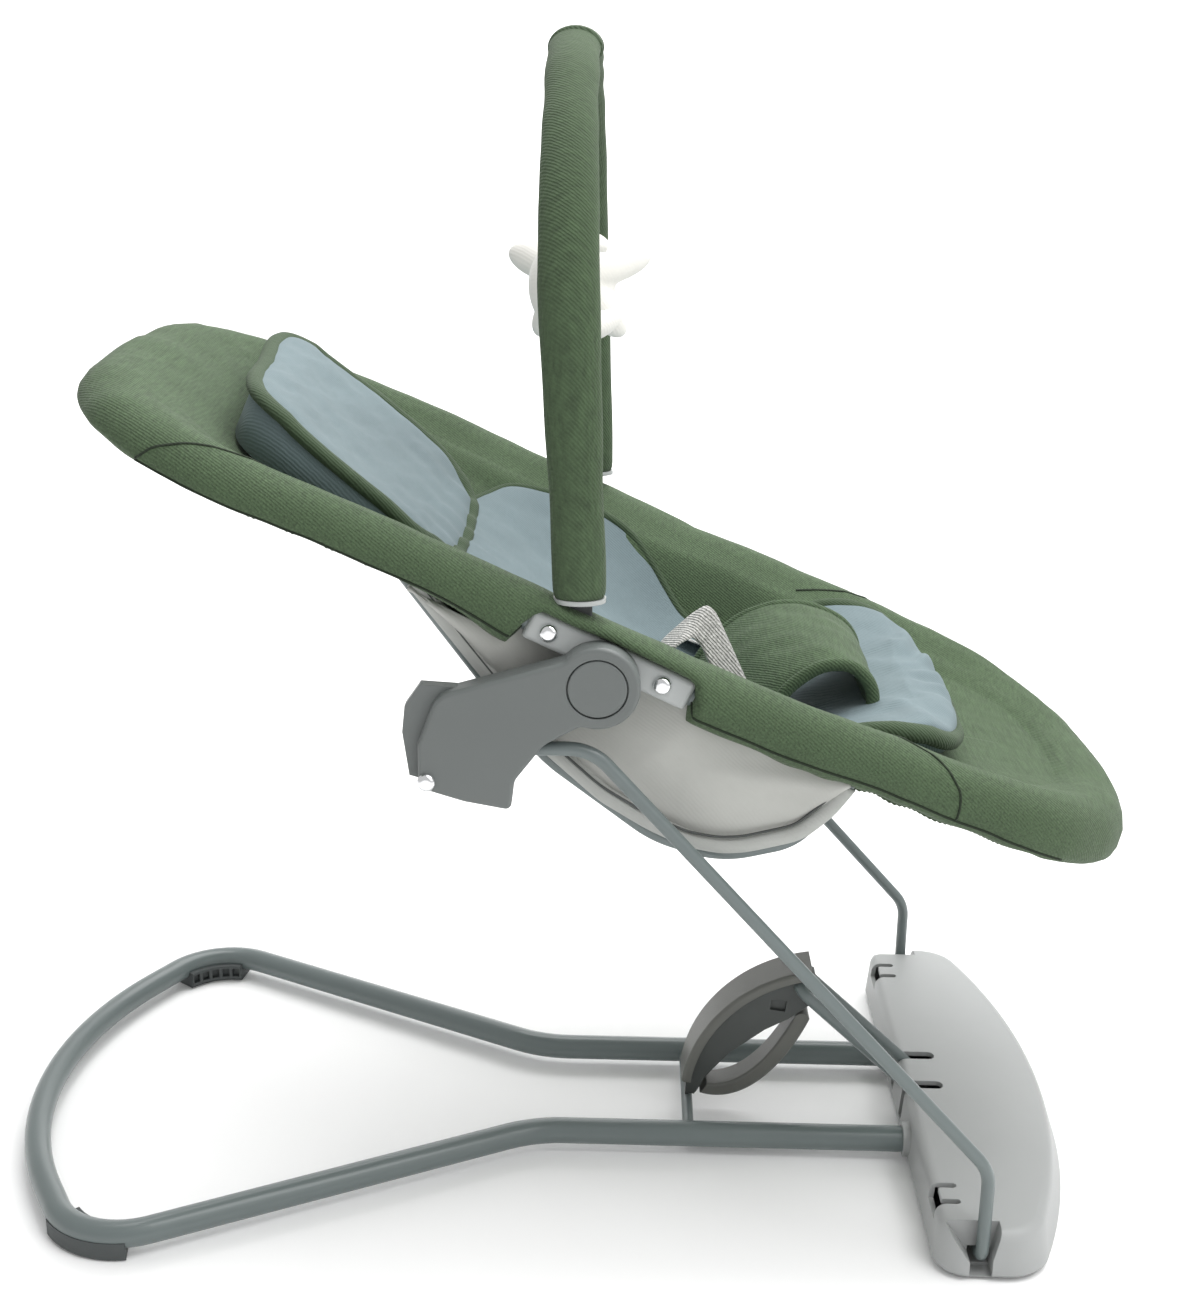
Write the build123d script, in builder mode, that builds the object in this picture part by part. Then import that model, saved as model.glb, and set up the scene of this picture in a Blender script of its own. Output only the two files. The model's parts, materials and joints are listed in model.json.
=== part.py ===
"""Folding baby bouncer seat: base loop, spring wire legs, reclining seat and toy bar.

Millimetres. +X points to the foot end, +Y to the baby's left, +Z up.
Parts are written with the origin on the floor, under the middle of the whole seat.
"""

import os
from math import cos, radians, sin

from build123d import *

os.makedirs("parts", exist_ok=True)

# Driving dimensions
tube_radius = 10.0  # floor loop, 20 mm steel tube
tube_wall = 1.5
tube_z = 16.0
wire_radius = 4.7  # spring wire of the legs
pivot_x, pivot_z = 300.0, 14.0  # fold axis inside the front housing
leg_y = 204.5
arm_y = 22.0
bight = (184.0, 122.0)  # top of the wire's middle arm, x and z
crossbar_x = 97.0
crossbar_radius = 4.5
hub_x, hub_z = 24.4, 441.3  # recline axis
seat_slope = 25.0  # fall of the seat rim towards the feet, degrees
rim_y = 186.0
rim_tube_radius = 8.0
rim_cover_radius = 19.0
saddle_above_hub = 16.6
housing_height = 40.0
housing_rear = 268.0
housing_half = 211.0
bracket_face = 215.0
bracket_seam = 206.0
bracket_back = 197.0
shell_wall = 2.4
button_radius = 19.0
fit = 0.05  # running clearance on a radius
gap = 0.3
shift_x = 16.0  # from the drawing's origin to the middle of the whole seat

# The seat's own plane: u runs from head to foot, h rises square to it
seat_origin = (hub_x, 0, hub_z + saddle_above_hub)
slope = radians(seat_slope)
seat_u = (cos(slope), 0, -sin(slope))
seat_h = (sin(slope), 0, cos(slope))
seat_plane = Plane(origin=seat_origin, x_dir=seat_u, z_dir=seat_h)
seat_side = Plane(origin=seat_origin, x_dir=seat_u, z_dir=(0, -1, 0))


def save(part, name):
    """Write one part, moved so that the origin lies under the middle of the seat."""
    placed = part.moved(Location((shift_x, 0, 0)))
    placed.label = name
    export_step(placed, f"parts/{name}.step")


def side_plane(y):
    """A plane parallel to XZ at this y, drawn in x and z, facing the baby's right."""
    return Plane.XZ.offset(-y)


# --- Floor loop -----------------------------------------------------------------

arm_spread = 62.2
bend_x = -24.5
corner_x, corner_y = -343.6, 224.1
rear_x = -477.0
tube_end = 286.0
corner_radius = 57.0
base_route = [
    (tube_end, -arm_spread),
    (bend_x, -arm_spread),
    (corner_x, -corner_y),
    (rear_x, 0),
    (corner_x, corner_y),
    (bend_x, arm_spread),
    (tube_end, arm_spread),
]

with BuildPart() as base_tube:
    with BuildLine(Plane.XY.offset(tube_z)) as loop:
        FilletPolyline(*base_route, radius=[100, corner_radius, 300, corner_radius, 100])
    with BuildSketch(Plane(origin=loop.line @ 0, z_dir=loop.line % 0)):
        Circle(tube_radius)
        Circle(tube_radius - tube_wall, mode=Mode.SUBTRACT)
    sweep(path=loop.line)
save(base_tube.part, "base_tube")

with BuildPart() as crossbar:
    with Locations((crossbar_x, 0, tube_z)):
        Cylinder(crossbar_radius, 2 * arm_spread, rotation=(90, 0, 0))
    with Locations((crossbar_x, -arm_spread, tube_z), (crossbar_x, arm_spread, tube_z)):
        Cylinder(tube_radius, 40, rotation=(0, 90, 0), mode=Mode.SUBTRACT)
save(crossbar.part, "crossbar")

# --- Rear rubber feet, moulded round the corners of the loop ----------------------

# centre of the loop's corner arc, from the two straight runs that it joins
towards_waist = Vector(bend_x - corner_x, arm_spread - corner_y).normalized()
towards_rear = Vector(rear_x - corner_x, -corner_y).normalized()
half_turn = radians(towards_waist.get_angle(towards_rear) / 2)
middle_way = (towards_waist + towards_rear).normalized()
foot_centre = (
    corner_x + middle_way.X * corner_radius / sin(half_turn),
    corner_y + middle_way.Y * corner_radius / sin(half_turn),
)
foot_first, foot_arc = 80.0, 63.0
foot_inner, foot_outer = corner_radius - 15, corner_radius + 10.4
foot_top = 15.0
rib_count = 5


def corner_plane(side, angle):
    """Upright plane through the corner's centre, with x pointing outwards."""
    a = radians(side * angle)
    return Plane(
        origin=(foot_centre[0], side * foot_centre[1], 0),
        x_dir=(cos(a), sin(a), 0),
        z_dir=(sin(a), -cos(a), 0),
    )


for side, name in ((-1, "right"), (1, "left")):
    start = foot_first if side > 0 else foot_first + foot_arc
    corner_axis = Axis((foot_centre[0], side * foot_centre[1], 0), (0, 0, 1))
    with BuildPart() as rear_foot:
        with BuildSketch(corner_plane(side, start)):
            with BuildLine():
                Polyline(
                    (foot_inner + 2, 0),
                    (foot_outer - 1.5, 0),
                    (foot_outer, 2),
                    (foot_outer, foot_top),
                    (foot_inner, foot_top),
                    (foot_inner, 2),
                    close=True,
                )
            make_face()
            with Locations((corner_radius, tube_z)):
                Circle(tube_radius, mode=Mode.SUBTRACT)
        revolve(axis=corner_axis, revolution_arc=foot_arc)
        for rib in range(rib_count):
            turn = foot_first + foot_arc * (rib + 0.5) / rib_count
            with BuildSketch(corner_plane(side, turn)):
                with Locations((foot_inner + 1.5, foot_top / 2 + 1)):
                    Rectangle(5, 8)
            extrude(amount=3.2, both=True, mode=Mode.SUBTRACT)
    save(rear_foot.part, f"rear_foot_{name}")

# --- Front housing: crescent shell, floor pan, pads and screws --------------------

pan_z, seam_z = 1.5, 5.0
end_block = 192.0
screw_places = [(345, -70), (345, 70), (322, -150), (322, 150)]
slot_width = 10.8


def crescent(front, bow, half, rear, front_round, rear_round):
    """Sketch of the housing's plan: straight at the rear, bowed at the front."""
    with Locations(((front + rear) / 2, 0)):
        Rectangle(front - rear, 2 * half)
    with Locations((front - bow, 0)):
        Circle(bow, mode=Mode.INTERSECT)
    ends = vertices().group_by(Axis.X)
    fillet(ends[0], rear_round)
    fillet(vertices().filter_by_position(Axis.X, rear + 40, front).group_by(Axis.Y)[0], front_round)
    fillet(vertices().filter_by_position(Axis.X, rear + 40, front).group_by(Axis.Y)[-1], front_round)


with BuildPart() as housing_top:
    with BuildSketch(Plane.XY.offset(seam_z)):
        crescent(391, 470, housing_half, housing_rear, 34, 22)
    with BuildSketch(Plane.XY.offset(housing_height)):
        crescent(379, 560, housing_half - 1, housing_rear + 3, 34, 22)
    loft(ruled=True)
    fillet(faces().sort_by(Axis.Z)[-1].edges(), 8)
    with BuildSketch(Plane.XY.offset(seam_z)):
        crescent(386, 480, end_block, housing_rear + 3.5, 16, 4)
    with BuildSketch(Plane.XY.offset(housing_height - 4)):
        crescent(372, 560, end_block, housing_rear + 6.5, 16, 4)
    loft(ruled=True, mode=Mode.SUBTRACT)
    # collars that the loop's ends push into
    with BuildSketch(Plane.YZ.offset(housing_rear - 4)):
        with Locations((-arm_spread, tube_z), (arm_spread, tube_z)):
            Circle(tube_radius + 3.4)
    extrude(amount=20)
    with BuildSketch(Plane.YZ.offset(housing_rear - 10)):
        with Locations((-arm_spread, tube_z), (arm_spread, tube_z)):
            Circle(tube_radius)
    extrude(amount=tube_end - housing_rear + 10.1, mode=Mode.SUBTRACT)
    with Locations((housing_rear, 0, seam_z - 10)):
        Box(60, 200, 20, mode=Mode.SUBTRACT)
    # slots for the spring wire's middle arms, open to the rear
    with BuildSketch(Plane.XY.offset(9)):
        with Locations((housing_rear + 8, -arm_y), (housing_rear + 8, arm_y)):
            Rectangle(40, slot_width)
        with Locations((housing_rear + 28, -arm_y), (housing_rear + 28, arm_y)):
            Circle(slot_width / 2)
    extrude(amount=housing_height, mode=Mode.SUBTRACT)
    # clip recesses near the ends, each with a tongue between two slots
    with BuildSketch(Plane.XY.offset(housing_height - 13)):
        with Locations((housing_rear, -165), (housing_rear, 165)):
            Rectangle(15, 25)
        for middle in (-165, 165):
            with Locations((housing_rear + 12, middle - 9.6), (housing_rear + 12, middle + 9.6)):
                SlotOverall(18, 5.6)
    extrude(amount=20, mode=Mode.SUBTRACT)
    # funnels for the legs in the end faces, and the holes that the wire turns into
    for side in (-1, 1):
        with BuildSketch(side_plane(side * (housing_half + 8))):
            with BuildLine():
                Polyline(
                    (271, 44),
                    (291.5, 14),
                    (291.5, 3),
                    (307, 3),
                    (307, 17),
                    (313, 44),
                    close=True,
                )
            make_face()
        extrude(amount=side * 23, mode=Mode.SUBTRACT)
        with BuildSketch(side_plane(side * (housing_half + 8))):
            with Locations((pivot_x - 1, 11)):
                Rectangle(16, 16)
        extrude(amount=side * 30, mode=Mode.SUBTRACT)
    # screw posts under the roof
    with BuildSketch(Plane.XY.offset(seam_z)):
        with Locations(*screw_places):
            Circle(4.5)
            Circle(1.7, mode=Mode.SUBTRACT)
    extrude(amount=housing_height - 8)
save(housing_top.part, "housing_top")

with BuildPart() as housing_pan:
    with BuildSketch(Plane.XY.offset(pan_z)):
        crescent(389, 474, housing_half - 2, housing_rear + 1.5, 33, 21)
    extrude(amount=seam_z - pan_z)
    fillet(faces().sort_by(Axis.Z)[0].edges(), 2)
    # bearing ribs that carry the wire's turning stretch
    for rib_y in (-150, -95, -45, 45, 95, 150):
        with BuildSketch(side_plane(rib_y - 4)):
            with BuildLine():
                Polyline((288, 4.9), (312, 4.9), (309, 20), (291, 20), close=True)
            make_face()
            with Locations((pivot_x, pivot_z)):
                Circle(wire_radius + fit, mode=Mode.SUBTRACT)
            with Locations((pivot_x, pivot_z + 5)):
                Rectangle(2 * wire_radius, 10, mode=Mode.SUBTRACT)
        extrude(amount=-8)
    # clearance for the legs where they turn in under the end faces
    with Locations((299.25, -housing_half, 4), (299.25, housing_half, 4)):
        Box(15.5, 30, 2.4, mode=Mode.SUBTRACT)
    with Locations(*[(x, y, pan_z) for x, y in screw_places]):
        Cylinder(1.7, 20, mode=Mode.SUBTRACT)
        Cylinder(3.8, 3, mode=Mode.SUBTRACT)
save(housing_pan.part, "housing_pan")

with BuildPart() as housing_screws:
    for x, y in screw_places:
        with BuildSketch(Plane.XY.offset(pan_z + 1.5)):
            with Locations((x, y)):
                Circle(1.7)
        extrude(amount=13)
        with BuildSketch(Plane.XY.offset(pan_z + 0.2)):
            with Locations((x, y)):
                Circle(3.6)
                Rectangle(5, 1, mode=Mode.SUBTRACT)
        extrude(amount=1.3)
save(housing_screws.part, "housing_screws")

with BuildPart() as front_pads:
    with BuildSketch():
        with Locations((290, -185), (290, 185), (362, 0)):
            SlotOverall(34, 14, rotation=90)
    extrude(amount=pan_z)
save(front_pads.part, "front_pads")

# --- Spring wire: both legs and the middle arm in one bent piece ------------------

wire_end_x = -72.0
wire_top_z = 397.0
knee_x, knee_z = 21.0, 397.0
ankle_z = 87.0


def wire_half(side):
    """Corners of one side's leg, from inside the bracket to the middle arm's top."""
    return [
        (wire_end_x, side * leg_y, wire_top_z),
        (knee_x, side * leg_y, knee_z),
        (pivot_x, side * leg_y, ankle_z),
        (pivot_x, side * leg_y, pivot_z),
        (pivot_x, side * arm_y, pivot_z),
        (bight[0], side * arm_y, bight[1]),
    ]


with BuildPart() as spring_wire:
    with BuildLine() as bends:
        FilletPolyline(
            *wire_half(-1),
            *reversed(wire_half(1)),
            radius=[34, 30, 9.4, 9.4, 9.4, 9.4, 9.4, 9.4, 30, 34],
        )
    with BuildSketch(Plane(origin=bends.line @ 0, z_dir=bends.line % 0)):
        Circle(wire_radius)
    sweep(path=bends.line)
save(spring_wire.part, "spring_wire")

# --- Strut: locks the wire's middle arm to the crossbar ---------------------------

strut_outer_centre = (210, 19)
strut_outer_radius = 119.0
strut_half = 17.0
bore_radius = wire_radius + fit


def strut_profile(shrink):
    """Sketch of the strut's curved body, drawn in x and z."""
    outer = strut_outer_radius - shrink
    with BuildLine() as outline:
        rim = CenterArc(strut_outer_centre, outer, 104, 68)
        Polyline(
            rim @ 1,
            (91 + shrink, 12),
            (106 - shrink / 3, 24),
            (113 - shrink / 3, 38),
            (130, 60),
            (158, 82),
            (176, 92),
            (195, 107),
            (198, 124),
            rim @ 0,
        )
    make_face(outline.edges())


hook_radius = crossbar_radius + 0.4

with BuildPart() as strut_core:
    with BuildSketch(side_plane(-strut_half + 3)):
        strut_profile(4)
        with Locations((crossbar_x, tube_z)):
            Circle(hook_radius, mode=Mode.SUBTRACT)
        with Locations((crossbar_x + 8, tube_z - 3)):
            Rectangle(16, 2 * hook_radius + 6, rotation=-8, mode=Mode.SUBTRACT)
        with Locations(bight):
            Circle(bore_radius, mode=Mode.SUBTRACT)
    extrude(amount=-2 * (strut_half - 3))
    with BuildSketch(side_plane(-strut_half + 3)):
        with Locations((168, 104)):
            Rectangle(12, 9, rotation=-8)
    extrude(amount=-3, mode=Mode.SUBTRACT)
save(strut_core.part, "strut_core")

with BuildPart() as strut_shell:
    with BuildSketch(side_plane(-strut_half - 2)):
        with BuildLine():
            outer = CenterArc(strut_outer_centre, strut_outer_radius, 98, 74)
            inner = CenterArc(strut_outer_centre, strut_outer_radius - 7.4, 98, 74)
            Line(outer @ 0, inner @ 0)
            Line(outer @ 1, inner @ 1)
        make_face()
    extrude(amount=-2 * (strut_half + 2))
    fillet(edges().filter_by(GeomType.CIRCLE).group_by(SortBy.LENGTH)[-1], 3)
    with BuildSketch(side_plane(-strut_half + 3)):
        strut_profile(4)
    extrude(amount=-2 * (strut_half - 3), mode=Mode.SUBTRACT)
save(strut_shell.part, "strut_shell")

strap_half = 12.0
strap_end = (187.0, 96.0)  # top of the strap's rounded end

with BuildPart() as release_strap:
    with BuildSketch(side_plane(-strap_half)):
        with BuildLine():
            upper = Spline((181, 91), (160, 56), (130, 31.5), (113, 29))
            Line(upper @ 1, (107.5, 20.5))
            lower = Spline((107.5, 20.5), (130, 19.5), (166, 44), (193.5, 90))
            ThreePointArc(lower @ 1, strap_end, upper @ 0)
        make_face()
    extrude(amount=-2 * strap_half)
    fillet(edges().filter_by(GeomType.BSPLINE), 2)
save(release_strap.part, "release_strap")

# --- Carrier brackets: two shells a side, on the upper ends of the wire -----------

rivet_low = (-85.5, 376.3)
dome_radius, dome_height = 6.2, 4.2
hub_outer = 27.5
pin_circle = 13.0
pin_radius = 2.4
bolt_radius = 4.0
wire_slot = 2 * wire_radius + 1.4


def from_hub(x, z):
    """A point given from the recline axis."""
    return (hub_x + x, hub_z + z)


def bracket_sketch(inset):
    """Sketch of the bracket's side view, drawn in x and z."""
    with BuildLine() as outline:
        FilletPolyline(
            from_hub(-4, 22.5 - inset),
            from_hub(-103 + inset, -6.2 - inset),
            from_hub(-115.5 + inset, -40),
            from_hub(-115.5 + inset, -70 + inset),
            from_hub(-86, -79 + inset),
            from_hub(-55.5 - inset, -84.5 + inset),
            from_hub(-53 - inset, -64),
            from_hub(-34 - inset * 0.7, -39 + inset * 0.7),
            from_hub(-4, -22 + inset),
            radius=[1, 20, 10, 7, 30, 4, 12, 18, 1],
            close=True,
        )
    make_face(outline.edges())
    with Locations(from_hub(0, 0)):
        Circle(hub_outer - inset)
    middle = Vector(*from_hub(0, 0))
    neck = [
        v
        for v in vertices()
        if v.X < hub_x - 1 and abs((Vector(v.X, v.Y) - middle).length - hub_outer + inset) < 0.01
    ]
    fillet(neck, 9)


def on_circle(radius, angles):
    """Points round the recline axis, in x and z."""
    return [from_hub(radius * cos(radians(a)), radius * sin(radians(a))) for a in angles]


with BuildPart() as bracket_cover:
    with BuildSketch(side_plane(-bracket_seam)):
        bracket_sketch(0)
    extrude(amount=bracket_face - bracket_seam)
    fillet(faces().sort_by(Axis.Y)[0].edges(), 3)
    with BuildSketch(side_plane(-bracket_seam)):
        bracket_sketch(shell_wall)
    extrude(amount=bracket_face - bracket_seam - shell_wall, mode=Mode.SUBTRACT)
    with BuildSketch(side_plane(-bracket_seam + 1)):
        with Locations(from_hub(0, 0)):
            Circle(button_radius + 0.9)
        with Locations(rivet_low):
            Circle(3)
    extrude(amount=bracket_face, mode=Mode.SUBTRACT)
    # opening in the lower edge that the spring wire comes in through
    with Locations((knee_x - 26, -leg_y - 0.2, wire_top_z)):
        Box(44, wire_slot, 2 * wire_radius + 9, mode=Mode.SUBTRACT)

with BuildPart() as bracket_base:
    with BuildSketch(side_plane(-bracket_back)):
        bracket_sketch(0.4)
        with BuildLine():
            Polyline(
                from_hub(-88, -3),
                from_hub(-114, -1.5),
                from_hub(-124, -16),
                from_hub(-126, -34),
                from_hub(-122, -64),
                from_hub(-100, -70),
                close=True,
            )
        make_face()
    extrude(amount=bracket_seam - bracket_back)
    with BuildSketch(side_plane(-bracket_back - shell_wall)):
        bracket_sketch(0.4 + shell_wall)
    extrude(amount=bracket_seam, mode=Mode.SUBTRACT)
    # vents in the rear rib
    with BuildSketch(side_plane(-bracket_back - 1.6)):
        with Locations(*[from_hub(-122.5, z) for z in (-32, -41, -50)]):
            Rectangle(7.5, 5)
    extrude(amount=6, mode=Mode.SUBTRACT)
    with BuildSketch(side_plane(-bracket_back + 1)):
        with Locations(from_hub(0, 0)):
            Circle(bolt_radius)
        with Locations(*on_circle(pin_circle, (90, 270))):
            Circle(pin_radius + 0.2)
        with Locations(rivet_low):
            Circle(3)
    extrude(amount=10, mode=Mode.SUBTRACT)
    with Locations((knee_x - 26, -leg_y - 0.2, wire_top_z)):
        Box(44, wire_slot, 2 * wire_radius + 9, mode=Mode.SUBTRACT)

with BuildPart() as bracket_rivet:
    with BuildSketch(side_plane(-bracket_back + 1.4)):
        with Locations(rivet_low):
            Circle(3)
    extrude(amount=bracket_face - bracket_back + 1.4)
    with BuildSketch(side_plane(-bracket_face)):
        with Locations(rivet_low):
            Circle(dome_radius)
    extrude(amount=dome_height)
    fillet(edges().sort_by(Axis.Y)[0], dome_height - 0.4)
    with BuildSketch(side_plane(-bracket_back)):
        with Locations(rivet_low):
            Circle(5.4)
    extrude(amount=-1.4)

with BuildPart() as recline_button:
    with BuildSketch(side_plane(-bracket_face + 5)):
        with Locations(from_hub(0, 0)):
            Circle(button_radius)
    extrude(amount=5)
    fillet(edges().sort_by(Axis.Y)[0], 1)
    with BuildSketch(side_plane(-bracket_face + 5)):
        with Locations(from_hub(0, 0)):
            Circle(button_radius + 2.5)
    extrude(amount=2.2)
    with BuildSketch(side_plane(-bracket_face + 5)):
        with Locations(*on_circle(pin_circle, (90, 270))):
            Circle(pin_radius)
    extrude(amount=-19)

with BuildPart() as hub_bolt:
    with BuildSketch(side_plane(-bracket_back - shell_wall)):
        with Locations(from_hub(0, 0)):
            Circle(6.5)
    extrude(amount=3.4)
    fillet(faces().sort_by(Axis.Y)[0].edges(), 1)
    with BuildSketch(side_plane(-bracket_back - shell_wall)):
        with Locations(from_hub(0, 0)):
            Circle(bolt_radius)
    extrude(amount=-23)

with BuildPart() as hub_nut:
    with BuildSketch(side_plane(-rim_y + 4)):
        with Locations(from_hub(0, 0)):
            RegularPolygon(7.5, 6)
            Circle(bolt_radius, mode=Mode.SUBTRACT)
    extrude(amount=-5.5)

spring_turns = 3.5
spring_coil = 8.8
with BuildPart() as button_spring:
    with BuildLine():
        spring_foot = (hub_x, -bracket_back - shell_wall - 1, hub_z)
        coil = Helix(2.5, 2.5 * spring_turns, spring_coil, center=spring_foot, direction=(0, -1, 0))
    with BuildSketch(Plane(origin=coil @ 0, z_dir=coil % 0)):
        Circle(0.7)
    sweep(path=coil)

# --- Seat frame: two hoops riveted into a saddle on each side ---------------------

saddle_low, saddle_high = -50.0, 66.0
saddle_half = 10.5
rivet_u = (-35.0, 45.6)
head_route = [(-300, 186), (-345, 135)]
foot_route = [(200, 186), (330, 168), (404, 85)]
boss_radius = 26.0
post_x = 12.0
bar_foot = 491.0


def mirrored(points):
    """The points on the baby's right, then the same points on the left."""
    return [(u, -y) for u, y in points] + [(u, y) for u, y in reversed(points)]


head_points = mirrored([(-29, rim_y)] + head_route)
foot_points = mirrored([(22, rim_y)] + foot_route)

with BuildPart() as head_hoop:
    with BuildLine(seat_plane) as route:
        FilletPolyline(*head_points, radius=[50, 40, 40, 50])
    with BuildSketch(Plane(origin=route.line @ 0, z_dir=route.line % 0)):
        Circle(rim_tube_radius)
        Circle(rim_tube_radius - 1.2, mode=Mode.SUBTRACT)
    sweep(path=route.line)
    with BuildSketch(seat_side):
        with Locations(*[(u, 0) for u in rivet_u]):
            Circle(2.65)
    extrude(amount=rim_y + 20, both=True, mode=Mode.SUBTRACT)
save(head_hoop.part, "head_hoop")

with BuildPart() as foot_hoop:
    with BuildLine(seat_plane) as route:
        FilletPolyline(*foot_points, radius=[200, 80, 60, 60, 80, 200])
    with BuildSketch(Plane(origin=route.line @ 0, z_dir=route.line % 0)):
        Circle(rim_tube_radius)
        Circle(rim_tube_radius - 1.2, mode=Mode.SUBTRACT)
    sweep(path=route.line)
    with BuildSketch(seat_side):
        with Locations(*[(u, 0) for u in rivet_u]):
            Circle(2.65)
    extrude(amount=rim_y + 20, both=True, mode=Mode.SUBTRACT)
save(foot_hoop.part, "foot_hoop")

seat_right = Plane(origin=seat_plane.from_local_coords((0, -rim_y, 0)), x_dir=seat_u, z_dir=(0, -1, 0))

with BuildPart() as saddle:
    with BuildSketch(seat_right):
        with Locations(((saddle_low + saddle_high) / 2, 0)):
            RectangleRounded(saddle_high - saddle_low, 2 * saddle_half, 3)
    extrude(amount=saddle_half, both=True)
    fillet(edges().filter_by(Axis(seat_origin, seat_u)), 4)
    with BuildSketch(side_plane(-rim_y)):
        with Locations(from_hub(0, 0)):
            Circle(boss_radius)
    extrude(amount=saddle_half - 0.1, both=True)
    for start, length in ((saddle_low - 1, 22.5), (saddle_high + 1, -46)):
        with BuildSketch(Plane(origin=seat_plane.from_local_coords((start, -rim_y, 0)), z_dir=seat_u)):
            Circle(rim_tube_radius)
        extrude(amount=length, mode=Mode.SUBTRACT)
    # socket for the toy bar's post
    with Locations((post_x, -rim_y, 486)):
        Box(17, 9, 60, mode=Mode.SUBTRACT)
    with BuildSketch(side_plane(-rim_y + 20)):
        with Locations(from_hub(0, 0)):
            Circle(bolt_radius + fit)
    extrude(amount=40, mode=Mode.SUBTRACT)
    with BuildSketch(side_plane(-rim_y + 3.5)):
        with Locations(from_hub(0, 0)):
            Circle(8.5)
    extrude(amount=-12, mode=Mode.SUBTRACT)
    # track that the button's pins run in while the seat reclines
    with BuildSketch(side_plane(-rim_y - saddle_half - 1)):
        with Locations(from_hub(0, 0)):
            Circle(pin_circle + pin_radius + 0.4)
            Circle(pin_circle - pin_radius - 0.4, mode=Mode.SUBTRACT)
    extrude(amount=-11.5, mode=Mode.SUBTRACT)
    with BuildSketch(seat_right.offset(saddle_half + 1)):
        with Locations(*[(u, 0) for u in rivet_u]):
            Circle(2.6)
    extrude(amount=-30, mode=Mode.SUBTRACT)

with BuildPart() as saddle_rivets:
    for u in rivet_u:
        with BuildSketch(seat_right.offset(-saddle_half)):
            with Locations((u, 0)):
                Circle(2.6)
        extrude(amount=2 * saddle_half)
        with BuildSketch(seat_right.offset(-saddle_half)):
            with Locations((u, 0)):
                Circle(5)
        extrude(amount=-1.4)
        with BuildSketch(seat_right.offset(saddle_half)):
            with Locations((u, 0)):
                Circle(dome_radius)
        extrude(amount=dome_height)
    fillet(edges().group_by(Axis.Y)[0], dome_height - 0.4)

brace_y = 180.0
brace_radius = 5.0
brace_route = [(-112, 521), (-10, 382), (62, 327), (107, 312), (156, 324), (202, 380)]
with BuildPart() as seat_brace:
    with BuildLine(side_plane(-brace_y)) as route:
        FilletPolyline(*brace_route, radius=[100, 80, 70, 40])
    with BuildSketch(Plane(origin=route.line @ 0, z_dir=route.line % 0)):
        Circle(brace_radius)
    sweep(path=route.line)

sided = {
    "bracket_cover": bracket_cover,
    "bracket_base": bracket_base,
    "bracket_rivet": bracket_rivet,
    "recline_button": recline_button,
    "hub_bolt": hub_bolt,
    "hub_nut": hub_nut,
    "button_spring": button_spring,
    "saddle": saddle,
    "saddle_rivets": saddle_rivets,
    "seat_brace": seat_brace,
}
for name, right in sided.items():
    save(right.part, f"{name}_right")
    with BuildPart() as left:
        mirror(right.part, about=Plane.XZ)
    save(left.part, f"{name}_left")

# --- Soft parts of the seat, as plain closed solids -------------------------------

cover_points = [(-345, 0), *reversed(head_route), *foot_route, (404, 0)]
sling_half = 166.0
panel_half = 174.0
panel_wall = 2.5
sling_low = 8.0


def sling_line(rise):
    """Side view of the seat's hollow, raised by this much."""
    points = [(-318, 2), (-230, -10), (-120, -28), (-40, -48), (30, -72), (95, -84), (140, -76)]
    points += [(172, -52), (205, -30), (260, -18), (330, -8), (376, -2)]
    return [(u, h + rise) for u, h in points]


def slab(low, high, first, last):
    """Sketch between two raised copies of the hollow's line, from u first to u last."""
    with BuildLine() as outline:
        under = Spline(*sling_line(low))
        over = Spline(*sling_line(high))
        Line(under @ 0, over @ 0)
        Line(under @ 1, over @ 1)
    make_face(outline.edges())
    with Locations(((first + last) / 2, 0)):
        Rectangle(last - first, 500, mode=Mode.INTERSECT)


with BuildPart() as rim_cover:
    for points, radii in ((head_points, [50, 40, 40, 50]), (foot_points, [200, 80, 60, 60, 80, 200])):
        with BuildLine(seat_plane) as route:
            FilletPolyline(*points, radius=radii)
        with BuildSketch(Plane(origin=route.line @ 0, z_dir=route.line % 0)):
            Circle(rim_cover_radius)
            Circle(rim_tube_radius, mode=Mode.SUBTRACT)
        sweep(path=route.line)
    for side in (-1, 1):
        with Locations(seat_plane):
            with Locations(((saddle_low + saddle_high) / 2, side * (rim_y + 9), -20)):
                Box(saddle_high - saddle_low + 2, 44.4, 62.4, mode=Mode.SUBTRACT)
            with Locations(((saddle_low + saddle_high) / 2, side * rim_y, saddle_half + 5)):
                Box(saddle_high - saddle_low + 1.9, 20, 9)
        with Locations((post_x, side * rim_y, 480)):
            Box(19, 11, 60, mode=Mode.SUBTRACT)
        with Locations((post_x, side * rim_y, bar_foot + 14)):
            Box(37, 27, 30, mode=Mode.SUBTRACT)
save(rim_cover.part, "rim_cover")

with BuildPart() as bucket_panel:
    with BuildSketch(side_plane(-panel_half)):
        with BuildLine() as outline:
            FilletPolyline(
                (-97, 496.8),
                (-14, 380),
                (62, 326),
                (107, 311.5),
                (156, 323),
                (190, 363),
                radius=[1, 80, 70, 60, 30, 1],
                close=True,
            )
        make_face(outline.edges())
    extrude(amount=-2 * panel_half)
    with BuildSketch(side_plane(-panel_half + panel_wall)):
        with BuildLine() as hollow:
            Polyline(
                (-120, 530),
                (-103, 509),
                (-12, 383),
                (62, 330),
                (107, 315),
                (154, 326),
                (199, 388),
                (210, 400),
                close=True,
            )
        make_face(hollow.edges())
    extrude(amount=-2 * (panel_half - panel_wall), mode=Mode.SUBTRACT)
    with BuildSketch(seat_side):
        slab(-sling_low - gap, 150, -400, 400)
    extrude(amount=sling_half + gap, both=True, mode=Mode.SUBTRACT)
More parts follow.
